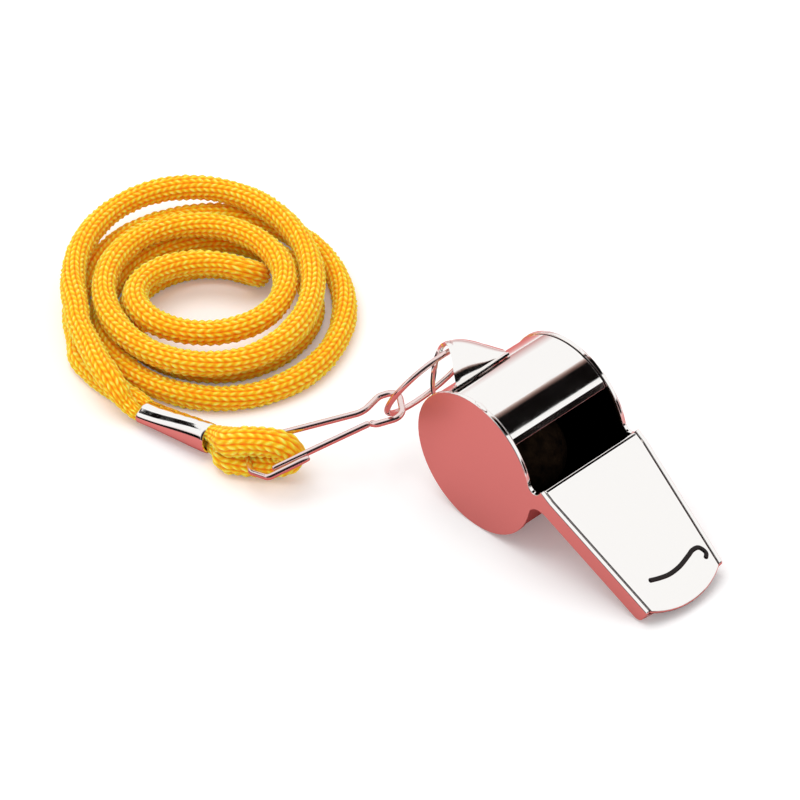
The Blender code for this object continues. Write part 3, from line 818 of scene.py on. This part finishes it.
def make_bail():
    """The hood and its flange in a fine mesh, closed between inner and outer face."""
    verts, faces = [], []
    for lift in (0.0, BAIL_SHEET):
        for i in range(BAIL_ROWS + 1):
            verts += bail_row(BAIL_TAIL_SHARE * i / BAIL_ROWS, lift)
    width = FLANGE_COLUMNS + BAIL_COLUMNS + 1
    shell = width * (BAIL_ROWS + 1)
    for i in range(BAIL_ROWS):
        for j in range(width - 1):
            a = i * width + j
            b = a + width
            faces.append((a, b, b + 1, a + 1))
            faces.append((shell + a, shell + a + 1, shell + b + 1, shell + b))
        a = i * width
        b = a + width
        faces.append((a, shell + a, shell + b, b))
        a, b = a + width - 1, b + width - 1
        faces.append((a, b, shell + b, shell + a))
    last = BAIL_ROWS * width
    for j in range(width - 1):
        faces.append((j, j + 1, shell + j + 1, shell + j))
        faces.append((last + j, shell + last + j, shell + last + j + 1, last + j + 1))
    bail = link_piece("hood", verts, faces)
    bail.data.set_sharp_from_angle(angle=SHARP_FROM)
    finish_piece(bail, BAIL_CHROME, "whistle", "bail_chrome", "bail")


make_bail()


# Raised mark on the roof, and solder tabs on the seams


def make_mark():
    """The bead that stands on the roof; its black is a painted dark reflection."""
    line = smooth_route([from_whistle(x, y, TOP_Z) for x, y in MARK], MARK_SPACING)
    up = from_whistle(0.0, 0.0, 1.0) - WHISTLE_PLACE
    mark = sweep("roof_mark", rounded_ends(line, MARK_SIZE[0]), MARK_SIDES, *MARK_SIZE, up=up)
    finish_piece(mark, MARK_PAINTED_REFLECTION, "whistle", "body_chrome")


def make_tab(name, degrees, y):
    """A flattened drop of solder over the seam between plate and strip."""
    angle = math.radians(degrees)
    out = from_whistle(math.cos(angle), 0.0, math.sin(angle)) - WHISTLE_PLACE
    along = Vector((-out.z, 0.0, out.x))
    side = Vector((0.0, 1.0, 0.0))
    centre = from_whistle(BARREL_RADIUS * math.cos(angle), y, BARREL_RADIUS * math.sin(angle))
    spot = Vector((angle * TAB_SHIFT[0], y * TAB_SHIFT[1], 0.0))
    long, wide, high = TAB_SIZE
    bm = bmesh.new()
    bmesh.ops.create_icosphere(bm, subdivisions=3, radius=1.0)
    for vert in bm.verts:
        p = vert.co * (1.0 + TAB_ROUGH * noise.noise(vert.co * TAB_RATE + spot))
        vert.co = centre + along * (p.x * long) + side * (p.y * wide) + out * (p.z * high)
    finish_piece(link_bmesh(name, bm), BODY_CHROME, "whistle", "body_chrome")


make_mark()
for number, tab in enumerate(TABS):
    make_tab(f"solder_tab_{number}", *tab)


# Cork ball


def make_ball():
    """The cork ball, turned a little uneven, with pits."""
    low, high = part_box("cork_pea")
    centre, radius = (low + high) / 2, (high.z - low.z) / 2
    bm = bmesh.new()
    bmesh.ops.create_icosphere(bm, subdivisions=5, radius=1.0)
    for vert in bm.verts:
        pit = max(0.0, noise.noise(vert.co * PIT_RATE) - PIT_FROM)
        slow = CORK_UNEVEN * noise.noise(vert.co * CORK_RATE)
        uneven = CORK_FULL + slow - PIT_DEPTH * pit
        vert.co = centre + vert.co * radius * uneven
    finish_piece(link_bmesh("cork_ball", bm), CORK, "pea", "cork", "cork_pea")


make_ball()


# Ferrule


def ferrule_point(share, turn, inset):
    """A point of the sleeve; four crimps dent its upper far side."""
    blend = share * share * (3 - 2 * share)
    sizes = zip(FERRULE_LEFT_SIZE, FERRULE_RIGHT_SIZE)
    half_width, half_height = [(a + (b - a) * blend) / 2 - inset for a, b in sizes]
    length = (FERRULE_RIGHT - FERRULE_LEFT).length
    dent = 0.0
    for crimp in CRIMPS:
        along = (share - crimp) * length / CRIMP_SIZE[0]
        round_it = (turn - CRIMP_TURN) * half_width / CRIMP_SIZE[1]
        dent += CRIMP_DEPTH * math.exp(-(along ** 2) - round_it ** 2)
    if inset == 0.0:
        rim = max(0.0, 1 - min(share, 1 - share) * length / RIM_LENGTH)
        dent += FERRULE_SHEET * RIM_SHARE * rim ** 2
    offset = FERRULE_ACROSS * (math.cos(turn) * (half_width - dent))
    offset += FERRULE_UP * (math.sin(turn) * (half_height - dent))
    return FERRULE_LEFT.lerp(FERRULE_RIGHT, share) + offset


def make_ferrule():
    """The sleeve, closed at both rims between inner and outer face."""
    verts, faces = [], []
    sides = FERRULE_SIDES
    for inset in (0.0, FERRULE_SHEET):
        for i in range(FERRULE_STEPS + 1):
            for k in range(sides):
                verts.append(ferrule_point(i / FERRULE_STEPS, 2 * math.pi * k / sides, inset))
    shell = sides * (FERRULE_STEPS + 1)
    for i in range(FERRULE_STEPS):
        for k in range(sides):
            m = (k + 1) % sides
            a, b, c, d = i * sides + k, i * sides + m, (i + 1) * sides + m, (i + 1) * sides + k
            faces.append((a, b, c, d))
            faces.append((shell + a, shell + d, shell + c, shell + b))
    last = FERRULE_STEPS * sides
    for k in range(sides):
        m = (k + 1) % sides
        faces.append((k, shell + k, shell + m, m))
        faces.append((last + k, last + m, shell + last + m, shell + last + k))
    ferrule = link_piece("crimped_sleeve", verts, faces)
    ferrule.data.set_sharp_from_angle(angle=SHARP_FROM)
    finish_piece(ferrule, FERRULE_CHROME, "lanyard", "ferrule_chrome", "ferrule")


make_ferrule()


# The lanyard


def waves(run, terms, middle=0.0):
    """Slow waves along the cord about a middle value."""
    return sum((size * np.sin(run * rate + shift) for size, rate, shift in terms), middle)


def stitch_heights(run):
    """How far the yarn stands out, 0 to 1, in chains of V-shaped loops along the cord."""
    around = np.arange(WALES * WALE_SAMPLES)
    across = np.abs((around % WALE_SAMPLES) / WALE_SAMPLES - 0.5)
    phase = run[:, None] / STITCH_PITCH - STITCH_SLANT * 2 * across[None, :]
    loop = 0.5 + 0.5 * np.cos(2 * np.pi * phase)
    stitch = np.floor(phase + 0.5).astype(int)
    rng = np.random.default_rng(STITCH_SEED)
    uneven = rng.uniform(STITCH_UNEVEN, 1.0, (np.ptp(stitch) + 1, WALES))
    loop *= uneven[stitch - stitch.min(), around // WALE_SAMPLES]
    leg = np.sin(2 * np.pi * across[None, :]) ** LEG_ROUND
    return (LOOP_LOW + (1 - LOOP_LOW) * loop) * (LEG_LOW + (1 - LEG_LOW) * leg)


def tube_faces(rows, around):
    """Faces of a tube of rows of points, and of its ends, whose middles are the last two points."""
    first = np.arange(rows - 1)[:, None] * around
    here = np.arange(around)
    there = (here + 1) % around
    corners = (first + here, first + there, first + around + there, first + around + here)
    faces = np.stack(corners, axis=2).reshape(-1, 4).tolist()
    pairs = list(zip(here.tolist(), there.tolist()))
    start, end, last = rows * around, rows * around + 1, (rows - 1) * around
    faces += [(start, j, i) for i, j in pairs]
    faces += [(end, last + i, last + j) for i, j in pairs]
    return faces


def knit_tube(name, route, thickness, swell):
    """A tube of knitted stitches, pressed where it is in the ferrule and flat on the ground."""
    centres, run = resample(route, STITCH_PITCH / STITCH_ROWS)
    sides, ups = frames_along(centres)
    height = stitch_heights(run)
    from_face = np.minimum(run, run[-1] - run) - CORD_TUCK
    shares = (CORD_PRESSED, CORD_SQUEEZE, 1.0)
    squeezed = np.interp(from_face, (-PRESSED_FROM, 0.0, swell), shares)[:, None]
    middle = thickness * waves(run, THICKNESS_WAVES, 1.0)[:, None]
    radius = middle * squeezed + STITCH_HEIGHT * (height - 0.5) * squeezed
    around = WALES * WALE_SAMPLES
    turn = (2 * np.pi * np.arange(around) / around)[None, :] + waves(run, ROLL_WAVES)[:, None]
    cos, sin = np.cos(turn)[:, :, None], np.sin(turn)[:, :, None]
    out = cos * sides[:, None, :] + sin * ups[:, None, :]
    points = centres[:, None, :] + out * radius[:, :, None]
    points[:, :, 2] = np.maximum(points[:, :, 2], 0.0)
    verts = np.concatenate([points.reshape(-1, 3), centres[:1], centres[-1:]])
    cord = link_piece(name, verts.tolist(), tube_faces(len(centres), around))
    # The stitch height also sets the yarn's painted highlight and shade
    stitch = cord.data.attributes.new("stitch", "FLOAT", "POINT")
    values = np.concatenate([height.reshape(-1), [0.5, 0.5]]).astype(np.float32)
    stitch.data.foreach_set("value", values)
    return cord, centres


def lay_cord(name, route, thickness, swell, length, lay, *nodes):
    """One stretch of the lanyard, in place of the CAD nodes."""
    cord, path = knit_tube(name, route, thickness, swell)
    finish_piece(cord, KNIT, "lanyard", "cord", *nodes)


lay_cord(
    "lanyard_loop",
    loop_route(),
    KNIT_RADIUS,
    STRAND_SWELL,
    LOOP_LENGTH,
    "coiled",
    "lanyard_coil",
    "lanyard_strand_low",
    "lanyard_strand_high",
)
lay_cord(
    "lanyard_small_loop",
    bight_route(),
    BIGHT_RADIUS,
    BIGHT_SWELL,
    BIGHT_LENGTH,
    "loose",
    "lanyard_bight",
    "ferrule_core",
)


# Studio


def light_path_mix(nodes, links, *names):
    """One where the ray is of any of these kinds, zero elsewhere."""
    path = nodes.new("ShaderNodeLightPath")
    value = path.outputs[names[0]]
    for name in names[1:]:
        value = math_node(nodes, links, "MAXIMUM", value, path.outputs[name])
    return value


def card(name, centre, across, up):
    """A flat card of the studio, not part of the object, from its centre and two half sides."""
    centre, across, up = Vector(centre), Vector(across), Vector(up)
    corners = [centre + across * i + up * j for i, j in ((-1, -1), (1, -1), (1, 1), (-1, 1))]
    mesh = bpy.data.meshes.new(name)
    mesh.from_pydata(corners, [], [(0, 1, 2, 3)])
    obj = bpy.data.objects.new(name, mesh)
    bpy.context.collection.objects.link(obj)
    return obj


def make_floor():
    """White to the camera, with the shadow; metal sees the photograph's coral cloth on it."""
    across, up = (FLOOR_REACH, 0.0, 0.0), (0.0, FLOOR_REACH, 0.0)
    floor = card("floor", (0.0, 0.0, FLOOR_LEVEL), across, up)
    material, nodes, links, white = shader_of("floor")
    values = {
        "Base Color": (0.93, 0.93, 0.93, 1.0),
        "Roughness": 0.9,
        "Specular IOR Level": 0.1,
        "Emission Color": (1.0, 1.0, 1.0, 1.0),
    }
    set_sockets(white, values)
    seen = light_path_mix(nodes, links, *SEEN)
    glow = map_range(nodes, links, seen, 0.0, 1.0, 0.0, FLOOR_GLOW)
    links.new(glow, white.inputs["Emission Strength"])
    coral = nodes.new("ShaderNodeBsdfDiffuse")
    coral.inputs["Color"].default_value = (*CORAL, 1.0)
    away = vector_math(nodes, links, "DISTANCE", object_place(nodes), CORAL_CENTRE)["Value"]
    near = map_range(nodes, links, away, *CORAL_REACH)
    glossy = light_path_mix(nodes, links, "Is Glossy Ray")
    mix = nodes.new("ShaderNodeMixShader")
    links.new(math_node(nodes, links, "MULTIPLY", near, glossy), mix.inputs[0])
    links.new(white.outputs["BSDF"], mix.inputs[1])
    links.new(coral.outputs["BSDF"], mix.inputs[2])
    links.new(mix.outputs[0], nodes["Material Output"].inputs["Surface"])
    floor.data.materials.append(material)


def make_flag(name, centre, across, up, fade=None):
    """A black flag that only reflections see; it may fade from brown between two values of x."""
    flag = card(name, centre, across, up)
    flag.visible_camera = False
    flag.visible_diffuse = False
    flag.visible_shadow = False
    flag.visible_transmission = False
    flag.visible_volume_scatter = False
    material, nodes, links, shader = shader_of(name)
    values = {"Base Color": (*FLAG_BLACK, 1.0), "Roughness": 1.0, "Specular IOR Level": 0.0}
    set_sockets(shader, values)
    if fade:
        x = axis_of(nodes, links, object_place(nodes), "X")
        colour = ramp(nodes, links, map_range(nodes, links, x, *fade), FLAG_FADE)
        links.new(colour, shader.inputs["Base Color"])
    flag.data.materials.append(material)


def make_world():
    """Light all round; reflections also see a dark side and a pink horizon."""
    world = bpy.data.worlds.new("studio")
    bpy.context.scene.world = world
    world.use_nodes = True
    nodes, links = world.node_tree.nodes, world.node_tree.links
    toward = nodes.new("ShaderNodeTexCoord").outputs["Generated"]
    glossy = light_path_mix(nodes, links, "Is Glossy Ray")
    turn, height = DARK_SIDE
    flat = math.cos(height)
    dark_way = (math.cos(turn) * flat, math.sin(turn) * flat, math.sin(height))
    facing = vector_math(nodes, links, "DOT_PRODUCT", toward, dark_way)["Value"]
    dark = math_node(nodes, links, "MULTIPLY", map_range(nodes, links, facing, *DARK_EDGE), glossy)
    low = map_range(nodes, links, axis_of(nodes, links, toward, "Z"), *HORIZON, 1.0, 0.0)
    pink = math_node(nodes, links, "MULTIPLY", low, glossy)
    sky = ramp(nodes, links, pink, ((0.0, (1.0, 1.0, 1.0)), (1.0, HORIZON_COLOUR)))
    back = nodes["Background"]
    links.new(mixed(nodes, links, dark, sky, (*DARK_COLOUR, 1.0)), back.inputs["Color"])
    seen = light_path_mix(nodes, links, *SEEN)
    links.new(map_range(nodes, links, seen, 0.0, 1.0, WORLD_LIGHT, 1.0), back.inputs["Strength"])


def make_key():
    """The soft lamp above, which reflections don't show."""
    data = bpy.data.lights.new("key", "AREA")
    data.size = KEY_SIZE
    data.energy = KEY_POWER
    lamp = bpy.data.objects.new("key", data)
    bpy.context.collection.objects.link(lamp)
    lamp.location = KEY_PLACE
    lamp.rotation_euler = (-Vector(KEY_PLACE)).to_track_quat("-Z", "Y").to_euler()
    lamp.visible_glossy = False


make_floor()
for flag in FLAGS:
    make_flag(*flag)
make_world()
make_key()
